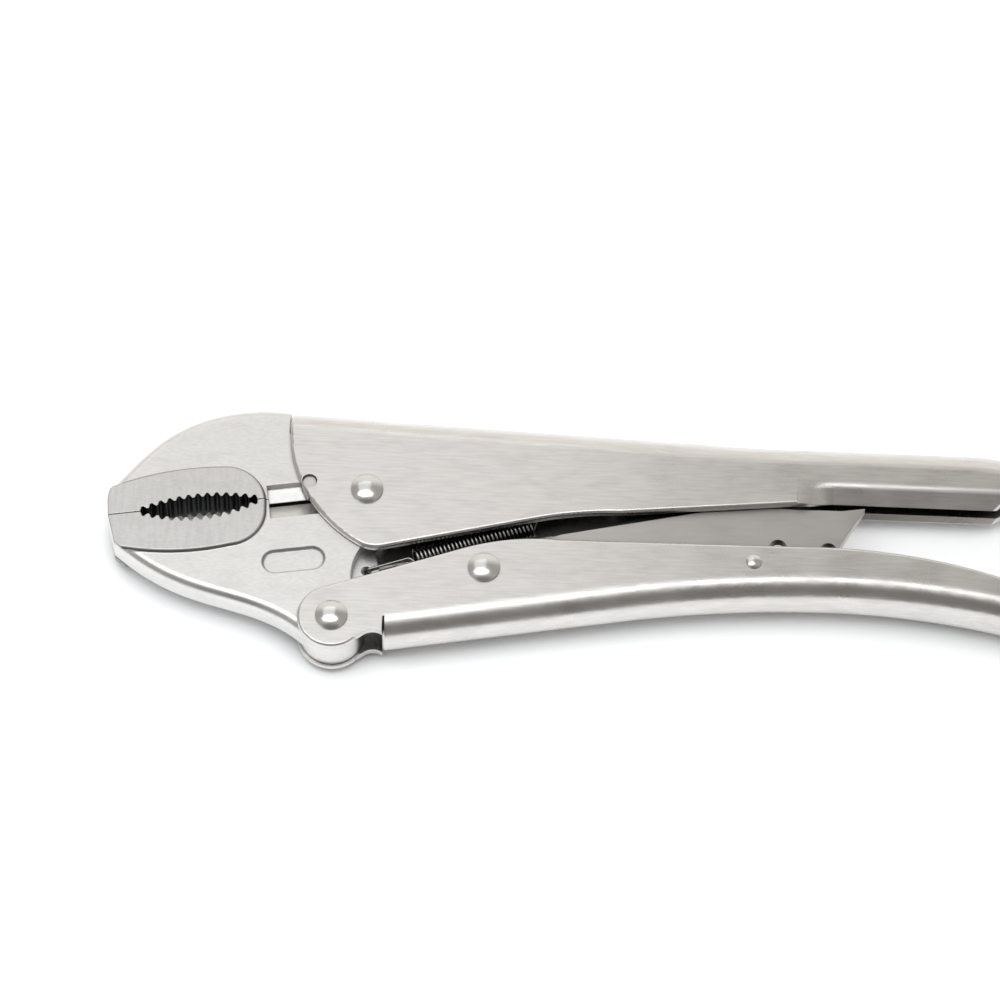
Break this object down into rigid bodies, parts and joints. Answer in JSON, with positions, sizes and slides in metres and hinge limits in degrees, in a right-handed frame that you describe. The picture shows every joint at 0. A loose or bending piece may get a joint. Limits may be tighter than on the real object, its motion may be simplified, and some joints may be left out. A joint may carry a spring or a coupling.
{
  "type": "locking pliers",
  "caption": "Curved-jaw locking pliers with a wire cutter, sheet-metal handles, a toggle link, a release lever, an opening spring and an adjusting screw with a knurled knob.",
  "frame": {"origin": "centre of the bounding box in plan, at the level of the lower rivet heads the tool lies on", "axes": "+X from the jaws to the adjusting knob, +Y to the back of the upper handle, +Z through the thickness, up from the side it lies on"},
  "size_m": [0.2994, 0.0826, 0.0208],
  "materials": {
    "handle_plating": "satin nickel plate on pressed sheet steel",
    "jaw_plating": "satin nickel plate on forged steel",
    "fixed_jaw_pin": "plated flush pin",
    "jaw_pivot_rivet": "polished domed rivet",
    "spring_anchor_pin": "plain steel pin in blind seats",
    "jaw_handle_rivet": "polished domed rivet",
    "link_rivet": "polished domed rivet",
    "lever_rivet": "polished domed rivet",
    "toggle_link": "plain steel bar",
    "release_lever": "satin nickel plate on flat steel",
    "opening_spring": "spring wire",
    "adjusting_screw": "plated, threaded",
    "adjusting_knob": "plated, knurled"
  },
  "bodies": {
    "frame": {"upper_handle": "handle_plating", "fixed_jaw": "jaw_plating", "fixed_jaw_pin": "fixed_jaw_pin", "jaw_pivot_rivet": "jaw_pivot_rivet", "spring_anchor_pin": "spring_anchor_pin", "opening_spring": "opening_spring"},
    "moving_jaw": {"lower_jaw": "jaw_plating"},
    "handle": {"lower_handle": "handle_plating", "jaw_handle_rivet": "jaw_handle_rivet", "link_rivet": "link_rivet", "lever_rivet": "lever_rivet"},
    "link": {"toggle_link": "toggle_link"},
    "lever": {"release_lever": "release_lever"},
    "screw": {"adjusting_screw": "adjusting_screw"},
    "knob": {"adjusting_knob": "adjusting_knob"}
  },
  "joints": [
    {"name": "jaw_hinge", "type": "hinge", "parent": "frame", "child": "moving_jaw", "pos_m": [-0.07026, 0.01307, 0.0104], "axis": [0, 0, 1], "range_deg": [0, 19], "deforming": ["opening_spring"]},
    {"name": "handle_hinge", "type": "hinge", "parent": "moving_jaw", "child": "handle", "pos_m": [-0.07896, -0.03083, 0.0104], "axis": [0, 0, 1], "range_deg": [-53.2, 0]},
    {"name": "link_hinge", "type": "hinge", "parent": "handle", "child": "link", "pos_m": [-0.03326, -0.01253, 0.0104], "axis": [0, 0, 1], "range_deg": [0, 52.1]},
    {"name": "lever_hinge", "type": "hinge", "parent": "handle", "child": "lever", "pos_m": [0.04904, -0.00713, 0.0104], "axis": [0, 0, 1], "range_deg": [-5, 0]},
    {"name": "screw_travel", "type": "slide", "parent": "frame", "child": "screw", "axis": [1, 0, 0], "range_m": [0, 0.02]},
    {"name": "knob_turn", "type": "hinge", "parent": "screw", "child": "knob", "pos_m": [0.14974, 0.02727, 0.0104], "axis": [1, 0, 0], "continuous": true}
  ],
  "couplings": [
    {"joint": "handle_hinge", "follows": "jaw_hinge", "ratio": -2.7947},
    {"joint": "link_hinge", "follows": "jaw_hinge", "ratio": 2.7368},
    {"joint": "knob_turn", "follows": "screw_travel", "rad_per_m": 3590.4}
  ]
}
